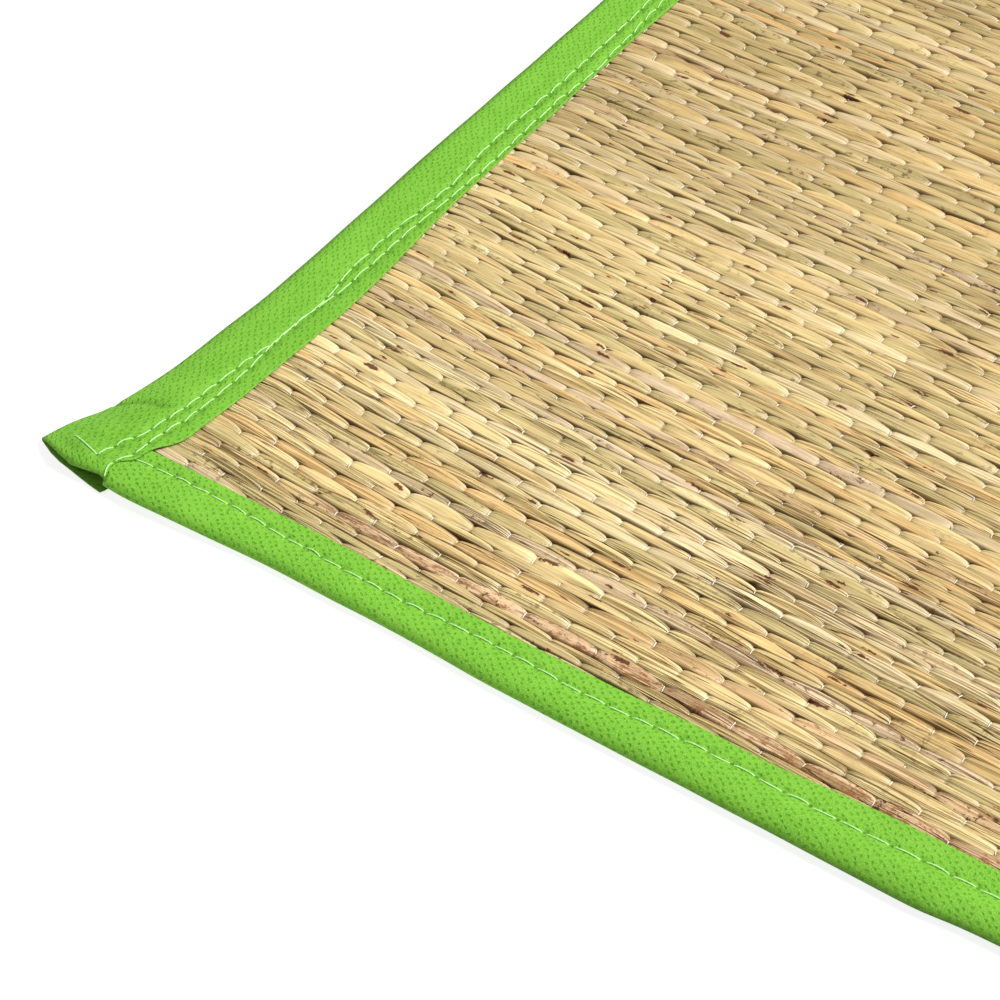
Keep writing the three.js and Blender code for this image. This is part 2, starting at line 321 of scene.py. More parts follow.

# Each stretch between two pressed crossings has a tone of its own. It is paler where it dives under the
# thread at its right end, partly worn and partly a painted highlight, and darker with painted shade where
# it comes up again at its left end. Bands of thin stems are darker. Painted shade darkens the sheet away
# from the near left corner, most of all up the mat and to the left. Up the mat it is more golden. Painted
# shade darkens the gaps between stems, some more than others, and most where the stems go in under the
# side strips. This painted gap shade is weaker away from the near left corner.
UP_AND_LEFT = (-0.56, 0.83)
stretch = stations + straw_index % 2
in_stretch = stretch % 2
stretch_tone = rng.normal(1, 0.03, (STRAW_COUNT, THREAD_COUNT // 2 + 2))
tone = stretch_tone[np.broadcast_to(straw_index, stations.shape), (stretch // 2).astype(int)]
# Painted highlight with some wear at a stretch's right end, painted shade at its left end.
wear_and_highlight = bell(2 - in_stretch, 0.2)
rising_shade = bell(in_stretch, 0.22)
tone = tone * (1 + 0.06 * wear_and_highlight - 0.1 * rising_shade) * (1 - 0.1 * thin_band[:, None])
# Painted shade: the sheet darkens away from the near left corner, most up the mat and to the left.
from_corner = np.hypot(from_left, even_y - NEAR)
tone = tone * (1 - 0.08 * smooth_step(from_corner, 200 * MM, 290 * MM))
up_and_left = UP_AND_LEFT[1] * (even_y - NEAR) + UP_AND_LEFT[0] * from_left
tone = tone * (1 - 0.165 * smooth_step(up_and_left, 20 * MM, 230 * MM))
golden = smooth_step(straw_y - NEAR, 150 * MM, 300 * MM)[:, None, None] * np.array([0, 0.03, 0.07])
pale = np.array([0.82, 0.72, 0.54])
straw_tint[..., :3] += (pale - straw_tint[..., :3]) * (0.42 * wear_and_highlight)[..., None]
straw_tint[..., :3] *= tone[..., None] * (1 - golden)
straw_tint = np.broadcast_to(straw_tint[..., None, :], (*straw_points.shape[:-1], 4)).copy()
# Painted shade in the gaps: deeper in some, deepest beside the side strips, weaker far from the corner.
gap_shade = smooth_step(np.random.default_rng(67).random((STRAW_COUNT + 1, 1, 1)), 0.72, 0.92)
in_shade = np.array([0.07, 0.036, 0.006])
gap_shade_fade = 0.65 * smooth_step(from_corner, 110 * MM, 430 * MM)[..., None]
beside_tape = bell(in_from_side - 24 * MM, 2.4 * MM)[..., None]
edge_light = (EDGE_LIGHT + (1 - EDGE_LIGHT) * gap_shade_fade) * (1 - 0.7 * beside_tape * (EDGE_LIGHT < 1))
edge_light = edge_light * (1 - 0.5 * (gap_shade[:-1] * NEAR_GAP + gap_shade[1:] * FAR_GAP))
# Painted shade: edge and gap points are mixed towards the shade colour.
straw_tint[..., :3] = in_shade + (straw_tint[..., :3] - in_shade) * edge_light[..., None]


def ring_faces(lines, rings, points):
    """Faces of tubes laid one after another: each joins a ring's point and the next to the next ring,
    and the two ends are closed by fans of four-cornered faces."""
    line, ring, point = np.meshgrid(np.arange(lines), np.arange(rings - 1), np.arange(points), indexing="ij")
    following = (point + 1) % points
    base = (line * rings + ring) * points
    walls = [base + point, base + points + point, base + points + following, base + following]
    walls = np.stack(walls, axis=-1).reshape(-1, 4)
    corner = np.arange(1, points - 2, 2)
    fan = np.stack([0 * corner, corner, corner + 1, corner + 2], axis=-1)
    fan = (fan + points - 1) % points
    first = np.arange(lines)[:, None, None] * rings * points + fan
    last = first[..., ::-1] + (rings - 1) * points
    return np.concatenate([walls, first.reshape(-1, 4), last.reshape(-1, 4)])


def surface(name, points, faces, material, uv=None, tint=None):
    """A smooth-shaded mesh object from an array of points and one of four-cornered faces."""
    mesh = bpy.data.meshes.new(name)
    mesh.vertices.add(len(points))
    mesh.vertices.foreach_set("co", points.astype(np.float32).ravel())
    mesh.loops.add(faces.size)
    mesh.loops.foreach_set("vertex_index", faces.astype(np.int32).ravel())
    mesh.polygons.add(len(faces))
    mesh.polygons.foreach_set("loop_start", np.arange(0, faces.size, 4, dtype=np.int32))
    mesh.polygons.foreach_set("use_smooth", np.ones(len(faces), dtype=bool))
    mesh.update(calc_edges=True)
    if uv is not None:
        layer = mesh.uv_layers.new(name="lengths")
        layer.data.foreach_set("uv", uv[faces.ravel()].astype(np.float32).ravel())
    if tint is not None:
        layer = mesh.color_attributes.new(name="tint", type="FLOAT_COLOR", domain="POINT")
        layer.data.foreach_set("color", tint.astype(np.float32).ravel())
    mesh.materials.append(material)
    return placed(name, mesh)


class Nodes:
    """Short calls for making a material's nodes and joining them. place is where its patterns are read."""

    def __init__(self, tree):
        self.tree = tree
        self.place = None

    def fill(self, node, inputs):
        """Give each named input its value, or join it to the socket given for it."""
        for name, value in dict(inputs).items():
            if isinstance(value, bpy.types.NodeSocket):
                self.tree.links.new(value, node.inputs[name])
            else:
                node.inputs[name].default_value = value

    def add(self, kind, inputs=(), **settings):
        """A new shader node with these settings and inputs."""
        node = self.tree.nodes.new("ShaderNode" + kind)
        for name, value in settings.items():
            setattr(node, name, value)
        self.fill(node, inputs)
        return node

    def math(self, operation, a, b=0.0):
        """One number from two."""
        return self.add("Math", {0: a, 1: b}, operation=operation).outputs[0]

    def times(self, a, b):
        """The product of two numbers."""
        return self.math("MULTIPLY", a, b)

    def vector(self, operation, a, b):
        """A node that works on two vectors."""
        return self.add("VectorMath", {0: a, 1: b}, operation=operation)

    def ramp(self, value, low, high, start=0.0, end=1.0):
        """From start to end, in an S-shaped curve, as the value goes from low to high."""
        inputs = {"Value": value, "From Min": low, "From Max": high, "To Min": start, "To Max": end}
        return self.add("MapRange", inputs, interpolation_type="SMOOTHSTEP").outputs["Result"]

    def mix(self, share, a, b, blend="MIX"):
        """Two colours mixed, or blended in another way, by a share."""
        node = self.add("Mix", {0: share, 6: a, 7: b}, data_type="RGBA", blend_type=blend)
        return node.outputs[2]

    def paint(self, colour, mask, share, over):
        """A colour with another one laid over it, as a share of a mask."""
        return self.mix(self.times(mask, share), colour, (*over, 1))

    def noise(self, along, across, detail=3, rough=0.5):
        """Noise from 0 to 1 at the place, squeezed by these factors along the tape or stem and across it."""
        scaled = self.add("Mapping", {"Vector": self.place, "Scale": (along, across, 1)}).outputs[0]
        inputs = {"Vector": scaled, "Scale": 1, "Detail": detail, "Roughness": rough}
        return self.add("TexNoise", inputs, noise_dimensions="2D").outputs["Fac"]

    def bump(self, height, strength, distance):
        """The normal of a surface with small relief."""
        inputs = {"Height": height, "Strength": strength, "Distance": distance}
        return self.add("Bump", inputs).outputs[0]


def material(name):
    """A new material, with its node helper and its Principled shader."""
    made = bpy.data.materials.new(name)
    made.use_nodes = True
    return made, Nodes(made.node_tree), made.node_tree.nodes["Principled BSDF"]


# Dried stem: a colour for each stem, ridges and hairline splits along it, and brown spots. Up the mat
# and to the left the ridges and splits are worn smoother. The map holds millimetres along a stem, and
# counts the stems, which lie about 4 mm apart.
STEM_PITCH = 4
straw, nodes, shader = material("dried_straw")
nodes.place = nodes.add("UVMap", uv_map="lengths").outputs["UV"]
tint = nodes.add("Attribute", attribute_name="tint").outputs
worn_smooth = nodes.vector("DOT_PRODUCT", nodes.place, (UP_AND_LEFT[0], UP_AND_LEFT[1] * STEM_PITCH, 0))
worn_smooth = nodes.ramp(worn_smooth.outputs["Value"], 70, 320, 1, 0.4)
ribbed = nodes.ramp(nodes.noise(0.01, 0.8, detail=0), 0.34, 0.58, 0.4, 1)
ribbed = nodes.times(ribbed, worn_smooth)
ridges = nodes.noise(0.02, 5, detail=1, rough=0.4)
fibres = nodes.noise(0.06, 8, detail=3, rough=0.6)
streaks = nodes.noise(0.015, 1.7, detail=2)
hair = nodes.noise(0.012, 2.6, detail=1)
split = nodes.ramp(nodes.math("ABSOLUTE", nodes.math("SUBTRACT", hair, 0.5)), 0.006, 0.028, 1, 0)
split = nodes.times(split, ribbed)
blotches = nodes.noise(0.3, 1.9, detail=4, rough=0.7)
blotch_area = nodes.noise(0.03, 0.8, detail=1)
speckle = nodes.times(nodes.ramp(blotches, 0.55, 0.64), nodes.ramp(blotch_area, 0.48, 0.64))
speckle = nodes.times(speckle, nodes.ramp(tint["Alpha"], 0, 0.9))
spot_place = nodes.add("Mapping", {"Vector": nodes.place, "Scale": (0.05, 1, 1)}).outputs[0]
spot_cell = nodes.add("TexVoronoi", {"Vector": spot_place, "Scale": 1}, voronoi_dimensions="2D").outputs
spot_dice = nodes.add("SeparateColor", {"Color": spot_cell["Color"]}).outputs
spot_size = nodes.ramp(spot_dice["Green"], 0, 1, 0.05, 0.2)
spot_edge = nodes.math("ADD", spot_cell["Distance"], nodes.times(blotches, 0.5))
spot_edge = nodes.math("SUBTRACT", nodes.math("ADD", spot_size, 0.25), spot_edge)
chosen = nodes.ramp(spot_dice["Red"], 0.82, 0.84)
spots = nodes.math("MAXIMUM", speckle, nodes.times(nodes.ramp(spot_edge, 0, 0.05), chosen))
halo = nodes.times(nodes.ramp(spot_edge, -0.12, 0.02), chosen)
stain = nodes.ramp(nodes.noise(0.16, 2.4, detail=6, rough=0.85), 0.48, 0.6)
stained = nodes.ramp(tint["Alpha"], 0.7, 1, 0, 0.85)
colour = nodes.mix(nodes.ramp(streaks, 0.3, 0.7), (0.85, 0.84, 0.78, 1), (1.07, 1.06, 1.04, 1))
colour = nodes.mix(1, tint["Color"], colour, "MULTIPLY")
furrows = nodes.times(nodes.ramp(ridges, 0.52, 0.38), ribbed)
colour = nodes.paint(colour, furrows, 0.64, (0.2, 0.115, 0.028))
shade = nodes.mix(nodes.ramp(fibres, 0.3, 0.7), (0.87, 0.84, 0.78, 1), (1.07, 1.07, 1.07, 1))
colour = nodes.mix(1, colour, shade, "MULTIPLY")
colour = nodes.paint(colour, split, 1, (0.08, 0.04, 0.01))
colour = nodes.paint(colour, halo, 0.4, (0.5, 0.26, 0.09))
colour = nodes.paint(colour, stain, stained, (0.24, 0.085, 0.025))
colour = nodes.paint(colour, spots, 0.92, (0.075, 0.024, 0.011))
relief = nodes.times(nodes.ramp(ridges, 0.36, 0.56), nodes.times(ribbed, 1.8))
relief = nodes.math("ADD", relief, nodes.times(fibres, 0.8))
relief = nodes.math("SUBTRACT", relief, nodes.times(split, 1.5))
nodes.fill(shader, {
    "Base Color": colour,
    "Normal": nodes.bump(relief, 1, 0.15 * MM),
    "Roughness": nodes.ramp(fibres, 0.2, 0.8, 0.5, 0.66),
    "Specular IOR Level": 0.1,
})

# The sheet is made as four blocks of straws, so that no piece has too many faces
BLOCKS = 4
for block, rows in enumerate(np.array_split(np.arange(STRAW_COUNT), BLOCKS)):
    made = surface(
        f"straws_{block + 1}",
        straw_points[rows].reshape(-1, 3),
        ring_faces(len(rows), straw_x.shape[1], len(ACROSS)),
        straw,
        uv=straw_uv[rows].reshape(-1, 2),
        tint=straw_tint[rows].reshape(-1, 4),
    )
    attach(made, "root")

# ------------------------------------------------------------
# Cotton threads: fine white warp threads along Y. What shows of one is a short loop over each straw
# that it presses down, with both ends diving between that straw and its neighbours.
THREAD_RADIUS = 0.21 * MM
THREAD_SIDES = 4
LOOP_ACROSS = np.array([-1.1, -0.85, 0, 0.85, 1.1])
LOOP_UP = np.array([-0.8, 0.85, 1.14, 0.85, -0.8])

rows, station = np.nonzero(pressed[:, 1:-1])
station = station + 1
crossing = rows, np.argmin(np.abs(stations[rows] - station[:, None]), axis=1)
lean = rng.normal(0, 0.2, len(rows))
sunk = rng.uniform(-0.14, 0.34, len(rows)) * MM


def tubes(path, radius, sides, flat=1.0):
    """Round tubes along many paths at once. path is lines x points x 3; each ring stands across the
    path's direction, and flat is its height over its width."""
    along = np.gradient(path, axis=1)
    along /= np.linalg.norm(along, axis=2, keepdims=True)
    aside = np.cross(along, [0, 0, 1])
    steep = np.linalg.norm(aside, axis=2, keepdims=True) < 0.2
    aside = np.where(steep, np.median(aside, axis=1, keepdims=True), aside)
    aside /= np.maximum(np.linalg.norm(aside, axis=2, keepdims=True), 1e-9)
    upward = np.cross(aside, along)
    turn = 2 * np.pi * (np.arange(sides) + 0.5) / sides
    ring = aside[:, :, None] * np.cos(turn)[:, None] + flat * upward[:, :, None] * np.sin(turn)[:, None]
    return path[:, :, None] + radius * ring


loops = np.stack([
    place_along(station, straw_y[rows])[:, None] + (lean * half_width[crossing])[:, None] * LOOP_ACROSS,
    middle_y[crossing][:, None] + half_width[crossing][:, None] * LOOP_ACROSS,
    (middle_z[crossing] - sunk)[:, None] + half_thick[crossing][:, None] * LOOP_UP,
], axis=-1)


def fuzz_group():
    """Thread fuzz as a node group: a colour that varies between a dark and a pale one in fine grains."""
    tree = bpy.data.node_groups.new("thread_fuzz", "ShaderNodeTree")
    sockets = [("Scale", "INPUT", "Float"), ("Dark", "INPUT", "Color"), ("Pale", "INPUT", "Color")]
    for name, way, kind in sockets + [("Color", "OUTPUT", "Color")]:
        tree.interface.new_socket(name, in_out=way, socket_type="NodeSocket" + kind)
    inner = Nodes(tree)
    given = tree.nodes.new("NodeGroupInput").outputs
    place = inner.add("TexCoord").outputs["Object"]
    inputs = {"Vector": place, "Scale": given["Scale"], "Detail": 2.0}
    grains = inner.add("TexNoise", inputs).outputs["Fac"]
    colour = inner.mix(inner.ramp(grains, 0.3, 0.7), given["Dark"], given["Pale"])
    tree.links.new(colour, tree.nodes.new("NodeGroupOutput").inputs["Color"])
    return tree


thread_fuzz = fuzz_group()


def thread_material(name, scale, dark, pale, roughness):
    """A material of fuzzy thread, between a dark and a pale colour."""
    made, nodes, shader = material(name)
    inputs = {"Scale": scale, "Dark": dark, "Pale": pale}
    fuzz = nodes.add("Group", inputs, node_tree=thread_fuzz)
    nodes.fill(shader, {"Base Color": fuzz.outputs["Color"], "Roughness": roughness})
    return made


cotton = thread_material("cotton_thread", 2500.0, (0.64, 0.57, 0.44, 1), (0.90, 0.85, 0.72, 1), 0.8)
threads = surface(
    "cotton_threads",
    tubes(loops, THREAD_RADIUS, THREAD_SIDES).reshape(-1, 3),
    ring_faces(len(loops), len(LOOP_ACROSS), THREAD_SIDES),
    cotton,
)
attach(threads, "root")

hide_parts("grass_panel")

# ------------------------------------------------------------
# End bindings: strips of green embossed non-woven tape, folded over the near and far edges and held by
# one row of white stitches. The fold is a soft round roll, and the raw edges lie open on the straws.
TAPE = 0.35 * MM
OFF_FLOOR = 0.4 * MM
OVER_STRAWS = 2.9 * MM
LOWER_LAYER_MORE = 0.5 * MM
GROOVE = 0.5 * MM
SWELL_WIDTH = 5 * MM
RAW_LIFT = 4 * MM
RAW_DIP = 0.2 * MM
RAW_WAVE_LENGTH = 30 * MM
WAVE_HEIGHT = 0.25 * MM
WAVE_LENGTH = 34 * MM
FOLD_WAVES = 1.2 * MM
FOLD_WAVE_LENGTH = 35 * MM
ROLL = 4.2 * MM
NEAR_ROLL_AT = np.array([0, 150, 220, 290, 450, 600]) * MM
NEAR_ROLL = np.array([4, 4.5, 6, 7.5, 6, 4]) * MM
NEAR_SWELL = np.array([0.5, 0.7, 1.3, 2.2, 1.2, 0.5]) * MM
NEAR_START = 6 * MM
NEAR_SLANT = 3.7 * MM
SAG = 1.6
STITCH = 8.5 * MM
NEAR_ROW_START = 12 * MM
FAR_ROW_START = 23 * MM
ROW_END = 22 * MM
OFF_THE_ROWS = 9
SEEN_STEP = 1.6 * MM
FAR_STEP = 2.4 * MM

# Fold, raw edge and stitches of each strip: distances from the mat's left edge, and from its near or far
NEAR_FOLD = np.array([
    [0, 20, 50, 70, 100, 130, 160, 200, 235, 265, 298, 311, 322, 370, 450, 600],
    [0.4, -0.4, 1, 2.2, 2, 1.7, 0.3, -0.3, -0.7, -1.1, -1.5, -1.4, -0.4, -0.3, 0.8, 0],
]) * MM
NEAR_RAW = np.array([
    [0, 30, 80, 120, 150, 195, 230, 250, 275, 310, 370, 450, 600],
    [20, 20, 21.2, 20.1, 19.4, 19.5, 20.4, 20.2, 21.8, 22.6, 20.8, 20, 20.2],
]) * MM
NEAR_ROW = np.array([
    [12, 30, 55, 70, 92, 120, 150, 190, 236, 260, 324, 400, 500, 600],
    [14, 14.6, 14.9, 14.1, 13, 12.1, 13, 11.8, 13.4, 12.7, 13.3, 12, 12.8, 12.4],
]) * MM
FAR_AT = np.array([0, 110, 240, 380, 600]) * MM
FAR_FOLD = np.array([0, 0.8, -0.9, 0.4, -0.2]) * MM
FAR_RAW = np.array([20, 20.2, 19.9, 19.6, 20.2]) * MM
FAR_ROW = np.array([12.6, 12.8, 12.1, 12.2, 12.6]) * MM


def waves(a, b, size, seed):
    """Gentle unevenness from -1 to 1: the mean of six sine waves of a and b, each with a length near the
    given size and a direction of its own."""
    pick = np.random.default_rng(seed)
    total = 0
    for _ in range(6):
        length = size * pick.uniform(0.7, 1.6)
        angle = pick.uniform(0, np.pi)
        phase = pick.uniform(0, 2 * np.pi)
        total = total + np.sin(2 * np.pi * (a * math.cos(angle) + b * math.sin(angle)) / length + phase)
    return total / 6


def end_strip_top(x, inward, fold, raw, row, swollen, bottom, seed):
    """Height of an end strip's upper layer, at a distance inward from the mat's straight edge. It swells
    between the fold and the stitches, sinks along them, waves softly, and its raw edge lifts and dips."""
    swell = swollen * bell(inward - (fold + row) / 2, SWELL_WIDTH)
    groove = GROOVE * bell(inward - row, 1.5 * MM)
    at_raw = smooth_step(inward, raw - RAW_LIFT, raw)
    lift = at_raw * (0.25 * MM * waves(x, 0, RAW_WAVE_LENGTH, seed + 1) - RAW_DIP)
    return bottom + OVER_STRAWS + swell - groove + lift + WAVE_HEIGHT * waves(x, inward, WAVE_LENGTH, seed)


def near_lines(x):
    """Distances of the near strip's fold, raw edge and stitches from the mat's near edge, at x."""
    return tuple(smooth_curve(x - LEFT, *line) for line in (NEAR_FOLD, NEAR_RAW, NEAR_ROW))


def near_roll(x):
    """Half width of the near strip's rolled fold at x: it is puffed up towards the middle of the edge."""
    return smooth_curve(x - LEFT, NEAR_ROLL_AT, NEAR_ROLL)


def far_roll(x):
    """Half width of the far strip's rolled fold at x."""
    return ROLL + 0 * x


def far_lines(x):
    """Distances of the far strip's fold, raw edge and stitches from the mat's far edge, at x."""
    return tuple(smooth_curve(x - LEFT, FAR_AT, line) for line in (FAR_FOLD, FAR_RAW, FAR_ROW))


def near_top(x, y):
    """Height of the near strip's upper layer at x, y."""
    swollen = smooth_curve(x - LEFT, NEAR_ROLL_AT, NEAR_SWELL)
    return end_strip_top(x, y - NEAR, *near_lines(x), swollen, sheet_bottom(x, y), 21)


def far_top(x, y):
    """Height of the far strip's upper layer at x, y."""
    return end_strip_top(x, FAR - y, *far_lines(x), 0.55 * MM, sheet_bottom(x, y), 31)


def girth(lower, reach, upper, shade_at, counts):
    """Distances inward from the fold, shares of the height, and painted brightness, for the points of a
    folded strip's section: along the lower layer from its raw edge, round a half turn, and along the upper
    layer. The height round the turn is a sine raised to a power, which lets the fold sag onto the
    floor. Low down the turn is darkened with painted shade, a bell curve of the angle, deepest at shade_at."""
    low, fold, high = counts
    under = lower[:, None] + (reach - lower)[:, None] * np.linspace(0, 1, low, endpoint=False)
    turn = np.linspace(-np.pi / 2, np.pi / 2, fold, endpoint=False)
    round_fold = reach[:, None] * (1 - np.cos(turn))
    over = reach[:, None] + (upper - reach)[:, None] * np.linspace(0, 1, high)
    inward = np.concatenate([under, round_fold, over], axis=1)
    share = ((1 + np.sin(turn)) / 2) ** SAG
    # Painted shade low on the turn.
    bright = 1 - 0.62 * bell(turn - shade_at, 0.5)
    share = np.concatenate([np.zeros(low), share, np.ones(high)])
    return inward, share, np.concatenate([np.ones(low), bright, np.ones(high)])


def stitch_row(x, y, first, later, grown):
    """A row of stitches: the points of its path in plan, and the stitches counted along it, which is the
    sum of each step over the length of a stitch there. That length grows from the first to the later one
    over the distance grown, and two slow sine waves make it uneven."""
    step = np.hypot(np.diff(x), np.diff(y))
    along = np.cumsum(step)
    length = first + (later - first) * np.minimum(along / grown, 1)
    length = length * (1 + 0.07 * np.sin(along / (4.1 * MM)) + 0.06 * np.sin(along / (6.3 * MM)))
    return x, y, np.concatenate([[0], np.cumsum(step / length)])


def folded_tape(name, points, bright, dotted, counts, axis, rows):
    """A strip from its outer skin, walled on the inside. Its UV maps hold millimetres along and round
    the tape, and stitches along and millimetres from the nearest row of stitches. Its tint holds its
    painted shade, and as alpha how clearly its dots show."""
    rings, count = points.shape[:2]
    hidden = counts[0] + counts[1]
    ring, point = np.meshgrid(np.arange(rings - 1), np.arange(count - 1), indexing="ij")
    base = ring * count + point
    faces = np.stack([base, base + 1, base + count + 1, base + count], axis=-1).reshape(-1, 4)
    corners = points.reshape(-1, 3)[faces]
    facing = np.cross(corners[:, 2] - corners[:, 0], corners[:, 3] - corners[:, 1])
    if facing[faces[:, 0] % count > hidden, 2].mean() < 0:
        faces = faces[:, ::-1]
    step = np.linalg.norm(np.diff(points, axis=1), axis=2)
    round_it = np.concatenate([np.zeros((rings, 1)), np.cumsum(step, axis=1)], axis=1)
    round_it = round_it - round_it[:, -1:]
    along = points[..., axis] / MM
    lengths = np.stack([along, round_it / MM], axis=-1).reshape(-1, 2)
    shown = [np.broadcast_to(value, (rings, count)) for value in (bright, bright, bright, dotted)]
    tint = np.stack(shown, axis=-1).reshape(-1, 4)
    piece = surface(name, points.reshape(-1, 3), faces, tape, uv=lengths, tint=tint)

    across = 1 - axis
    seams = []
    for row in rows:
        past_end = points[..., axis] - np.clip(points[..., axis], row[axis][0], row[axis][-1])
        phase = np.interp(points[..., axis], row[axis], row[2]) + np.clip(past_end / STITCH, -0.5, 0.5)
        gap = (points[..., across] - np.interp(points[..., axis], row[axis], row[across])) / MM
        gap[:, :hidden] = OFF_THE_ROWS * np.sign(gap[:, hidden:hidden + 1])
        seams.append(np.stack([phase, gap], axis=-1).reshape(-1, 2)[faces])
    seams = np.stack(seams)
    nearest = np.argmin(np.abs(seams[..., 1]).mean(axis=2), axis=0)
    seam = seams[nearest, np.arange(len(faces))]
    layer = piece.data.uv_layers.new(name="seam")
    layer.data.foreach_set("uv", seam.astype(np.float32).ravel())
    wall = piece.modifiers.new("wall", "SOLIDIFY")
    wall.thickness = TAPE
    wall.offset = -1
    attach(piece, "root")
    return piece


# Non-woven tape: lime green, with painted shade for a dark hole at each stitch. Its embossed dots
# stand in staggered rows: every 3.6 mm along the tape, with rows every 1.4 mm, and painted highlights
# lie on their rims. The tint attribute multiplies in the painted shade of the folds.
DOT_SPACING = np.array([3.6, 2.8])
tape, nodes, shader = material("green_tape")
nodes.place = nodes.add("UVMap", uv_map="lengths").outputs["UV"]
tint = nodes.add("Attribute", attribute_name="tint").outputs
dot_rows = (*(math.sqrt(2) / DOT_SPACING), 1)
turn = {"Vector": nodes.place, "Scale": dot_rows, "Rotation": (0, 0, math.radians(45))}
turned = nodes.add("Mapping", turn).outputs[0]
wander = {"Vector": nodes.place, "Scale": 0.4, "Detail": 1}
wander = nodes.add("TexNoise", wander, noise_dimensions="2D").outputs["Color"]
wander = nodes.vector("SUBTRACT", wander, (0.5, 0.5, 0.5)).outputs[0]
wander = nodes.vector("MULTIPLY", wander, (0.5, 0.5, 0.5)).outputs[0]
place = nodes.vector("ADD", turned, wander).outputs[0]
cells = {"Vector": place, "Scale": 1, "Randomness": 0.4}
to_dot = nodes.add("TexVoronoi", cells, voronoi_dimensions="2D").outputs["Distance"]
dots = nodes.ramp(to_dot, 0.09, 0.33, 1, 0)
felt = nodes.noise(1.9, 2.3, detail=5, rough=0.7)
patches = nodes.noise(0.09, 0.09, detail=3)
clear_dots = nodes.ramp(nodes.noise(0.5, 0.5), 0.34, 0.62, 0.25, 1)
clear_area = nodes.ramp(nodes.noise(0.03, 0.03), 0.4, 0.6, 0.4, 1)
shown_dots = nodes.times(nodes.times(nodes.times(dots, clear_dots), clear_area), tint["Alpha"])
# Painted highlights on the rims of the dots.
rim_highlights = nodes.times(nodes.ramp(to_dot, 0.28, 0.45), nodes.ramp(felt, 0.48, 0.66))
seam = nodes.add("UVMap", uv_map="seam").outputs["UV"]
seam = nodes.add("SeparateXYZ", {"Vector": seam}).outputs
to_hole = nodes.times(nodes.math("PINGPONG", seam["X"], 0.5), STITCH / MM)
from_row = nodes.times(seam["Y"], seam["Y"])
hole = nodes.math("SQRT", nodes.math("ADD", nodes.times(to_hole, to_hole), from_row))
colour = nodes.mix(nodes.ramp(felt, 0.3, 0.7), (0.114, 0.35, 0.024, 1), (0.205, 0.485, 0.042, 1))
colour = nodes.mix(nodes.ramp(patches, 0.35, 0.7, 0, 0.4), colour, (0.205, 0.49, 0.046, 1))
colour = nodes.paint(colour, rim_highlights, 0.5, (0.33, 0.62, 0.1))
colour = nodes.paint(colour, shown_dots, 0.66, (0.06, 0.26, 0.004))
# Painted shade in the needle holes.
colour = nodes.mix(nodes.ramp(hole, 0.25, 0.85, 0.55, 0), colour, (0.02, 0.1, 0.002, 1))
# Painted shade of the folds, from the tint attribute.
colour = nodes.mix(1, colour, tint["Color"], "MULTIPLY")
relief = nodes.math("SUBTRACT", nodes.times(felt, 0.6), nodes.times(dots, 1.2))
relief = nodes.math("ADD", relief, nodes.ramp(hole, 0, 3.0, -3.0, 0))
nodes.fill(shader, {
    "Base Color": colour,
    "Normal": nodes.bump(relief, 0.85, 0.22 * MM),
    "Roughness": 0.6,
    "Specular IOR Level": 0.12,
})


def end_strip(name, edge, inwards, lines, roll, top, rows, start, slant, step, counts):
    """An end strip: its section at each place along X, folded towards the middle of the mat. Its left
    end is cut at a slant, further back at the fold than on the straws. Where its roll is fuller, its
    painted shade is deeper and it is a little darker overall, and its dots are stretched flatter."""
    x = np.linspace(LEFT + start, RIGHT - STRIP_TUCK, int(WIDTH / step))
    fold, raw, _ = lines(x)
    reach = roll(x) * (1 + 0.12 * waves(x, 0, 0.08, 5))
    inward, share, bright = girth(raw - fold + LOWER_LAYER_MORE, reach, raw - fold, -0.25, counts)
    # Painted shade: deeper and a little darker where the roll is fuller.
    fuller = smooth_step(x - LEFT, 170 * MM, 310 * MM)[:, None]
    bright = bright ** (0.12 + 0.95 * fuller) * (1 - 0.04 * fuller)
    at_start = 1 - smooth_step(x, LEFT + start, LEFT + start + 15 * MM)
    at_fold = np.where(share < 1, 1, 1 - smooth_step(inward, 3 * MM, 6 * MM))
    grid_x = x[:, None] + slant * at_start[:, None] * at_fold
    soft = FOLD_WAVES * share * (1 - share) * waves(grid_x, share * 0.03, FOLD_WAVE_LENGTH, 9)
    y = edge + inwards * (fold[:, None] + inward + soft)
    ground = OFF_FLOOR + LAYER * raised(np.minimum(grid_x - LEFT, RIGHT - grid_x), SETTLE_FROM_SIDE)
    crown = top(x, edge + inwards * (fold + reach))[:, None]
    z = ground + (crown - ground) * share
    z = np.where(share == 1, top(grid_x, y), z)
    return folded_tape(name, np.stack([grid_x, y, z], axis=-1), bright, 1 - 0.4 * fuller, counts, 0, rows)


row_x = np.arange(LEFT + NEAR_ROW_START, RIGHT - ROW_END, 1 * MM)
near_row = stitch_row(row_x, NEAR + near_lines(row_x)[2], 7.5 * MM, 9.3 * MM, 300 * MM)
row_x = np.arange(LEFT + FAR_ROW_START, RIGHT - ROW_END, 1 * MM)
far_row = stitch_row(row_x, FAR - far_lines(row_x)[2], 8 * MM, 9 * MM, 300 * MM)
near_binding = end_strip(
    "near_binding", NEAR, 1, near_lines, near_roll, near_top, [near_row],
    NEAR_START, NEAR_SLANT, SEEN_STEP, (6, 12, 24),
)
far_binding = end_strip(
    "far_binding", FAR, -1, far_lines, far_roll, far_top, [far_row],
    STRIP_TUCK, 0, FAR_STEP, (5, 8, 20),
)
for piece, node in ((near_binding, "binding_near"), (far_binding, "binding_far")):
    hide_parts(node)

# ------------------------------------------------------------
# Side bindings: the same tape over the left and right edges, lapped over the ends of the two others.
# Two rows of stitches hold each. The cut ends are open tubes, and the near left one flares outwards.
OUTER_FROM_RAW = 9.6 * MM
INNER_FROM_RAW = 4.2 * MM
ROW_WANDER = 0.9 * MM

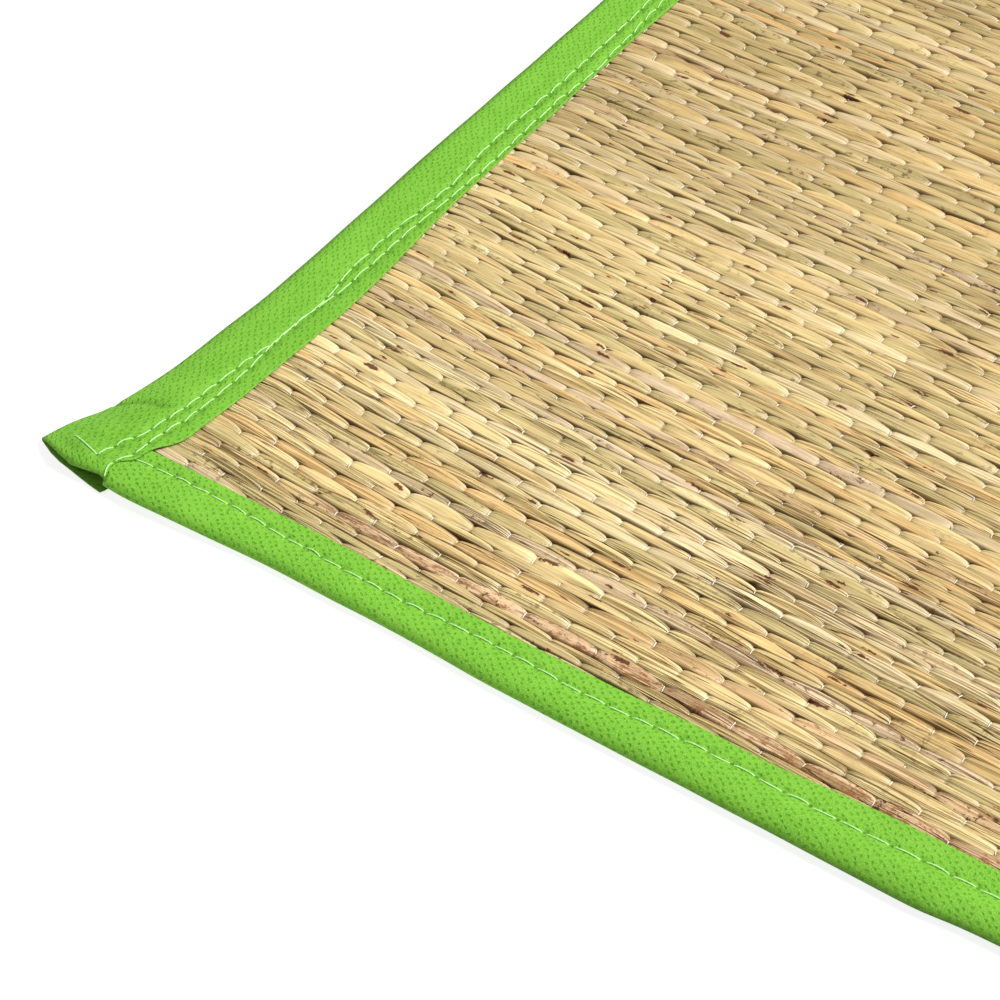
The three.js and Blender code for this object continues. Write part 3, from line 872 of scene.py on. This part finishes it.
# Fold, raw edge and stitches of each strip: distances from the mat's near edge, and from its left or right
LEFT_FOLD = np.array([
    [7, 15, 22, 28, 35, 43, 58, 70, 85, 105, 150, 215, 260, 330, 450, 520, 560, 600],
    [-22.3, -20, -17, -14, -12, -10.3, -7.8, -6.5, -5.3, -3.8, -3, -2.7, -1.8, -1, 0, -0.5, -1.8, -5.4],
]) * MM
LEFT_RAW = np.array([
    [0, 2.5, 6, 9, 12.5, 20, 30, 40, 57, 75, 93, 115, 130, 168, 222, 245, 270, 330, 450, 600],
    [10.4, 10.2, 8.8, 9.3, 12.1, 14.7, 20.2, 21, 22.3, 23.3, 24.5, 25.4, 25.4, 23.6, 23, 24, 23.5, 24.6,
     24.2, 21],
]) * MM
OUTER_ROW = np.array([
    [7.5, 15, 22, 30, 38, 46, 54, 63, 73, 82, 93, 116, 125, 146, 166, 187, 217, 258, 330, 400, 480, 600],
    [1.9, 3.8, 6.8, 8.3, 10, 10.8, 11.2, 11.7, 12.8, 14.8, 15.3, 15.6, 14.4, 13.9, 14.9, 16.4, 14.6, 15.8,
     15.6, 14.6, 15.4, 12],
]) * MM
INNER_ROW = np.array([
    [0, 2, 5.5, 8.5, 12, 17, 24, 31, 38, 48, 64, 102, 120, 143, 164, 180, 200, 247, 274, 330, 400, 480, 600],
    [9.8, 9.4, 8.2, 8.6, 10, 11.3, 11.8, 13, 14.6, 14.8, 15.4, 15.3, 17.6, 18.4, 18.9, 19.6, 20.8, 20.8, 22,
     20.6, 21, 20.4, 17],
]) * MM
RIGHT_FOLD = np.array([
    [0, 14, 26, 45, 85, 120, 260, 430, 555, 586, 600],
    [-5.5, -4, -2.6, -1.4, -0.4, 0.5, -0.5, 0.3, -1.2, -3.4, -4.6],
]) * MM
RIGHT_RAW = np.array([
    [0, 60, 120, 200, 260, 350, 430, 540, 600],
    [20.6, 24.6, 25.6, 25.2, 26.2, 25, 25.4, 24.8, 21],
]) * MM

# Cut ends: how far the upper and the lower layer are cut back, and the lower one reaches in farther
CUT_END = 40 * MM
FULL_CUT = 6.8 * MM
RAW_CUT = 1.7 * MM
UPPER_CUT = np.array([[0, 6, 12, 18, 24, 30, 34], [6.8, 4.2, 1.7, 0.5, 0.9, 1.4, 0.2]]) * MM
LOWER_CUT = np.array([[0, 8.5, 18, 25, 32], [6.8, 2.9, 1.1, -0.4, -1.4]]) * MM
LOWER_OVER = np.array([[0, 3, 6, 10, 15, 24], [-1.4, 0.8, 2.2, 1.5, 1, 0]]) * MM
LAP = (20.5 * MM, 26 * MM)
LAP_LIFT = 0.75 * MM
FULL_RISE = 3.4 * MM
EMPTY_RISE = 16 * MM
SIDE_ROLL = 3.6 * MM
EMPTY_ROLL = 1.3 * MM
EMPTY_HEIGHT = 1.2 * MM
SIDE_SWELL = 0.55 * MM
CREASE_WIDTH = 1.3 * MM
CREASE_DEPTH = 1.1 * MM


def left_lines(y):
    """Distances of the left strip's fold, raw edge and two rows of stitches from the mat's left edge."""
    return tuple(smooth_curve(y - NEAR, *line) for line in (LEFT_FOLD, LEFT_RAW, OUTER_ROW, INNER_ROW))


def end_skin(x, y):
    """Height of the end strips' outer skin under a side strip: their upper layer, and down the round of
    their rolls as a quarter ellipse."""
    ground = OFF_FLOOR + LAYER
    skins = []
    for inward, lines, roll, top in (
        (y - NEAR, near_lines, near_roll, near_top),
        (FAR - y, far_lines, far_roll, far_top),
    ):
        down_roll = np.clip(1 - (inward - lines(x)[0]) / roll(x), 0, 1)
        skins.append(ground + (top(x, y) - ground) * (0.5 + 0.5 * np.sqrt(1 - down_roll ** 2)) ** SAG)
    return np.where(y < (NEAR + FAR) / 2, *skins)


def right_lines(y):
    """Distances of the right strip's fold, raw edge and two rows of stitches from the mat's right edge."""
    fold = smooth_curve(y - NEAR, *RIGHT_FOLD)
    raw = smooth_curve(y - NEAR, *RIGHT_RAW)
    outer = raw - OUTER_FROM_RAW + ROW_WANDER * waves(y, 0, 0.12, 71)
    inner = raw - INNER_FROM_RAW + ROW_WANDER * waves(y, 0, 0.12, 72)
    return fold, raw, outer, inner


def rise(fold):
    """How far from its fold a side strip's upper layer takes to come up to the straws: longer where the
    fold stands out empty beside them."""
    return FULL_RISE + EMPTY_RISE * np.clip(-fold / FULL_FLARE, 0, 1)


def side_strip_top(x, y, inward, fold, raw, outer, inner, seed):
    """Height of a side strip's upper layer, at a distance inward from the mat's straight edge. It goes
    over the straws and the end strips, down over their rolls, and lower where it stands out empty. The
    outer stitches, and the groove they pull in, start a little way in from the near end."""
    across = inward - fold
    lap = 1 - smooth_step(np.minimum(y - NEAR, FAR - y), *LAP)
    long_rise = rise(fold)
    swell = SIDE_SWELL * bell(across - long_rise - 4 * MM, SWELL_WIDTH)
    outer_groove = bell(inward - outer, 1.4 * MM) * smooth_step(y - NEAR, 5 * MM, 10 * MM)
    groove = GROOVE * np.maximum(outer_groove, bell(inward - inner, 1.4 * MM))
    at_raw = smooth_step(inward, raw - RAW_LIFT, raw)
    lift = at_raw * (0.3 * MM * waves(y, 0, RAW_WAVE_LENGTH, seed + 1) - RAW_DIP)
    full = sheet_bottom(x, y) + OVER_STRAWS + swell - groove
    full = full + (end_skin(x, y) + LAP_LIFT - 0.4 * groove - full) * lap
    full = full + lift * (1 - lap) + WAVE_HEIGHT * waves(y, inward, WAVE_LENGTH, seed) * (1 - 0.7 * lap)
    empty = EMPTY_HEIGHT + 0.9 * MM * smooth_step(across, 0, long_rise)
    return empty + (full - empty) * smooth_step(across, -0.25 * long_rise, long_rise) ** 0.8


def left_creases(x, y):
    """Depth from 0 to 1 of the left strip's creases at x, y: a wavy one across it where its end starts
    to stand out, and a fainter one at its corner."""
    across = x - LEFT - left_lines(y)[0]
    crease_at = 32 * MM + 0.5 * across + 1.2 * MM * np.sin(across / (4 * MM))
    crease = bell(y - NEAR - crease_at, CREASE_WIDTH) * (1 - smooth_step(across, 14 * MM, 20 * MM))
    dent = bell(y - NEAR - 11 * MM + 0.32 * across, CREASE_WIDTH) * bell(across - 13 * MM, 6 * MM)
    return crease + 0.5 * dent


def left_top(x, y):
    """Height of the left strip's upper layer at x, y, with its creases."""
    return side_strip_top(x, y, x - LEFT, *left_lines(y), 41) - CREASE_DEPTH * left_creases(x, y)


def right_top(x, y):
    """Height of the right strip's upper layer at x, y."""
    return side_strip_top(x, y, RIGHT - x, *right_lines(y), 51)


def no_creases(x, y):
    """A strip without creases."""
    return 0 * x


def side_strip(name, edge, inwards, lines, top, creases, rows, cut, step, counts):
    """A side strip: its section at each place along Y, slanting back towards the fold at its cut ends.
    cut says how much the near and the far end slant. Painted shade darkens the creases, a line along
    the fold, and the inside of the lower layer at the near cut end, and a painted highlight makes the
    tape beside that line a little paler."""
    along = np.linspace(0, DEPTH, int(DEPTH / step))
    near_fade = cut[0] * (1 - smooth_step(along, 0, CUT_END))
    far_fade = cut[1] * (1 - smooth_step(DEPTH - along, 0, CUT_END))
    slanting = near_fade - far_fade
    at_fold = NEAR + along + FULL_CUT * slanting
    at_raw = NEAR + along + RAW_CUT * slanting
    fold = lines(at_fold)[0]
    upper = lines(at_raw)[1] - fold
    lower = upper + LOWER_LAYER_MORE + cut[0] * np.interp(along, *LOWER_OVER)
    empty = smooth_step(rise(fold), FULL_RISE, 12 * MM)
    reach = SIDE_ROLL + (EMPTY_ROLL - SIDE_ROLL) * empty
    inward, over, bright = girth(lower, reach, upper, -0.72, counts)
    # Painted shade inside the open near end and along the fold line, and a painted highlight beside it.
    inside = (over == 0) * cut[0] * (1 - smooth_step(along, 12 * MM, 24 * MM))[:, None]
    bright = bright * (1 - 0.5 * inside) * (1 - 0.4 * bell(over - 0.85, 0.12))
    bright = bright * (1 + 0.17 * (over == 1) * (1 - smooth_step(inward, 3 * MM, 15 * MM)))
    slant = np.interp(inward, *UPPER_CUT) * over + np.interp(inward, *LOWER_CUT) * (1 - over)
    y = NEAR + along[:, None] + slant * slanting[:, None]
    soft = FOLD_WAVES * over * (1 - over) * waves(y, over * 0.03, FOLD_WAVE_LENGTH, 13)
    x = edge + inwards * (fold[:, None] + inward + soft)
    crown = top(edge + inwards * (fold + reach), at_fold)[:, None]
    z = OFF_FLOOR + (crown - OFF_FLOOR) * over
    z = np.where(over == 1, top(x, y), z)
    # Painted shade along the creases.
    bright = bright * (1 - 0.3 * over * creases(x, y))
    return folded_tape(name, np.stack([x, y, z], axis=-1), bright, 0.5, counts, 1, rows)


def side_rows(edge, inwards, lines, starts):
    """The two rows of stitches of a side strip, from their starts at the near end."""
    made = []
    for number, start in enumerate(starts):
        y = np.arange(NEAR + start, FAR - 3 * MM, 1 * MM)
        made.append(stitch_row(edge + inwards * lines(y)[2 + number], y, 6.4 * MM, 9.5 * MM, 75 * MM))
    return made


left_rows = side_rows(LEFT, 1, left_lines, (7.5 * MM, 1.2 * MM))
right_rows = side_rows(RIGHT, -1, right_lines, (3 * MM, 3 * MM))
left_binding = side_strip(
    "left_binding", LEFT, 1, left_lines, left_top, left_creases, left_rows,
    (1, 0.3), SEEN_STEP, (6, 10, 32),
)
right_binding = side_strip(
    "right_binding", RIGHT, -1, right_lines, right_top, no_creases, right_rows,
    (0.3, 0.25), FAR_STEP, (5, 8, 24),
)
for piece, node in ((left_binding, "binding_left"), (right_binding, "binding_right")):
    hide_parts(node)

# ------------------------------------------------------------
# Stitches: white sewing thread. Each stitch comes up through the tape, lies on it in a slight curve,
# and goes down again into the next needle hole. At the near left corner one long stitch runs back.
SIDE_STITCH = 0.29 * MM
END_STITCH = 0.28 * MM
STITCH_SIDES = 6
STITCH_FLAT = 0.65
STITCH_SHARE = np.array([0.06, 0.11, 0.2, 0.4, 0.6, 0.8, 0.89, 0.94])
STITCH_RISE = np.array([-1.2, -0.1, 0.6, 0.8, 0.8, 0.6, -0.1, -1.2])


def sewn(row, top, radius, seed):
    """A row of stitches: one for each whole number counted along its path, bowed a little aside and
    lying on the tape."""
    path_x, path_y, stitches = row
    pick = np.random.default_rng(seed)
    count = max(int(stitches[-1]), 1)
    at = np.arange(count)[:, None] + STITCH_SHARE * stitches[-1] / max(stitches[-1] // 1, 1)
    x = np.interp(at, stitches, path_x)
    y = np.interp(at, stitches, path_y)
    away = np.stack([x[:, -1:] - x[:, :1], y[:, -1:] - y[:, :1]]) / STITCH
    bow = pick.normal(0.25, 0.3, (count, 1)) * np.sin(np.pi * STITCH_SHARE) * MM
    turn = pick.normal(0, 0.4, (count, 1)) * (STITCH_SHARE - 0.5) * MM
    x = x - away[1] * (bow + turn)
    y = y + away[0] * (bow + turn)
    path = np.stack([x, y, top(x, y) + STITCH_RISE * radius], axis=-1)
    return tubes(path, radius, STITCH_SIDES, STITCH_FLAT)


back_x = np.linspace(LEFT + 3 * MM, LEFT - 12.6 * MM, 12)
back_y = np.linspace(NEAR + 7.1 * MM, NEAR + 11.7 * MM, 12)
back_length = np.linspace(0, 1, 12)
all_stitches = np.concatenate([
    sewn(near_row, near_top, END_STITCH, 61),
    sewn(far_row, far_top, END_STITCH, 62),
    sewn(left_rows[0], left_top, SIDE_STITCH, 63),
    sewn(left_rows[1], left_top, SIDE_STITCH, 64),
    sewn((back_x, back_y, back_length), left_top, SIDE_STITCH, 67),
    sewn(right_rows[0], right_top, SIDE_STITCH, 65),
    sewn(right_rows[1], right_top, SIDE_STITCH, 66),
])
sewing = thread_material("sewing_thread", 1800.0, (0.33, 0.62, 0.19, 1), (0.50, 0.78, 0.33, 1), 0.6)
stitches = surface(
    "stitches",
    all_stitches.reshape(-1, 3),
    ring_faces(len(all_stitches), len(STITCH_RISE), STITCH_SIDES),
    sewing,
)
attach(stitches, "root")

# ------------------------------------------------------------
# Floor and light: a white studio floor, lit a little from within like a light table, which softens the
# mat's shadow. One large soft light stands far behind the right edge, and a weak one near the camera.
FLOOR_HALF = 6
FLOOR_DROP = 0.3 * MM
floor_mesh = bpy.data.meshes.new("floor")
corners = [(x * FLOOR_HALF, y * FLOOR_HALF, -FLOOR_DROP) for x, y in ((-1, -1), (1, -1), (1, 1), (-1, 1))]
floor_mesh.from_pydata(corners, [], [(0, 1, 2, 3)])
paper, nodes, shader = material("white_floor")
nodes.fill(shader, {
    "Base Color": (0.26, 0.26, 0.26, 1),
    "Roughness": 0.9,
    "Emission Color": (1, 1, 1, 1),
    "Emission Strength": 0.8,
})
floor_mesh.materials.append(paper)
placed("floor", floor_mesh)


def soft_light(name, direction, distance, size, power):
    """A square area light facing the middle of the mat's near left quarter."""
    light = bpy.data.lights.new(name, "AREA")
    light.size = size
    light.energy = power
    lamp = placed(name, light)
    away = Vector(direction).normalized()
    lamp.location = AIM + away * distance
    lamp.rotation_euler = away.to_track_quat("Z", "Y").to_euler()


soft_light("key", (0.62, 0.42, 0.72), distance=6, size=2.25, power=550)
soft_light("fill", (-0.3, -0.6, 0.7), distance=2.6, size=1.6, power=12)
world = bpy.data.worlds.new("studio")
world.use_nodes = True
background = world.node_tree.nodes["Background"]
background.inputs["Color"].default_value = (1, 1, 1, 1)
background.inputs["Strength"].default_value = 0.36
bpy.context.scene.world = world
bpy.context.scene.view_settings.view_transform = "Standard"
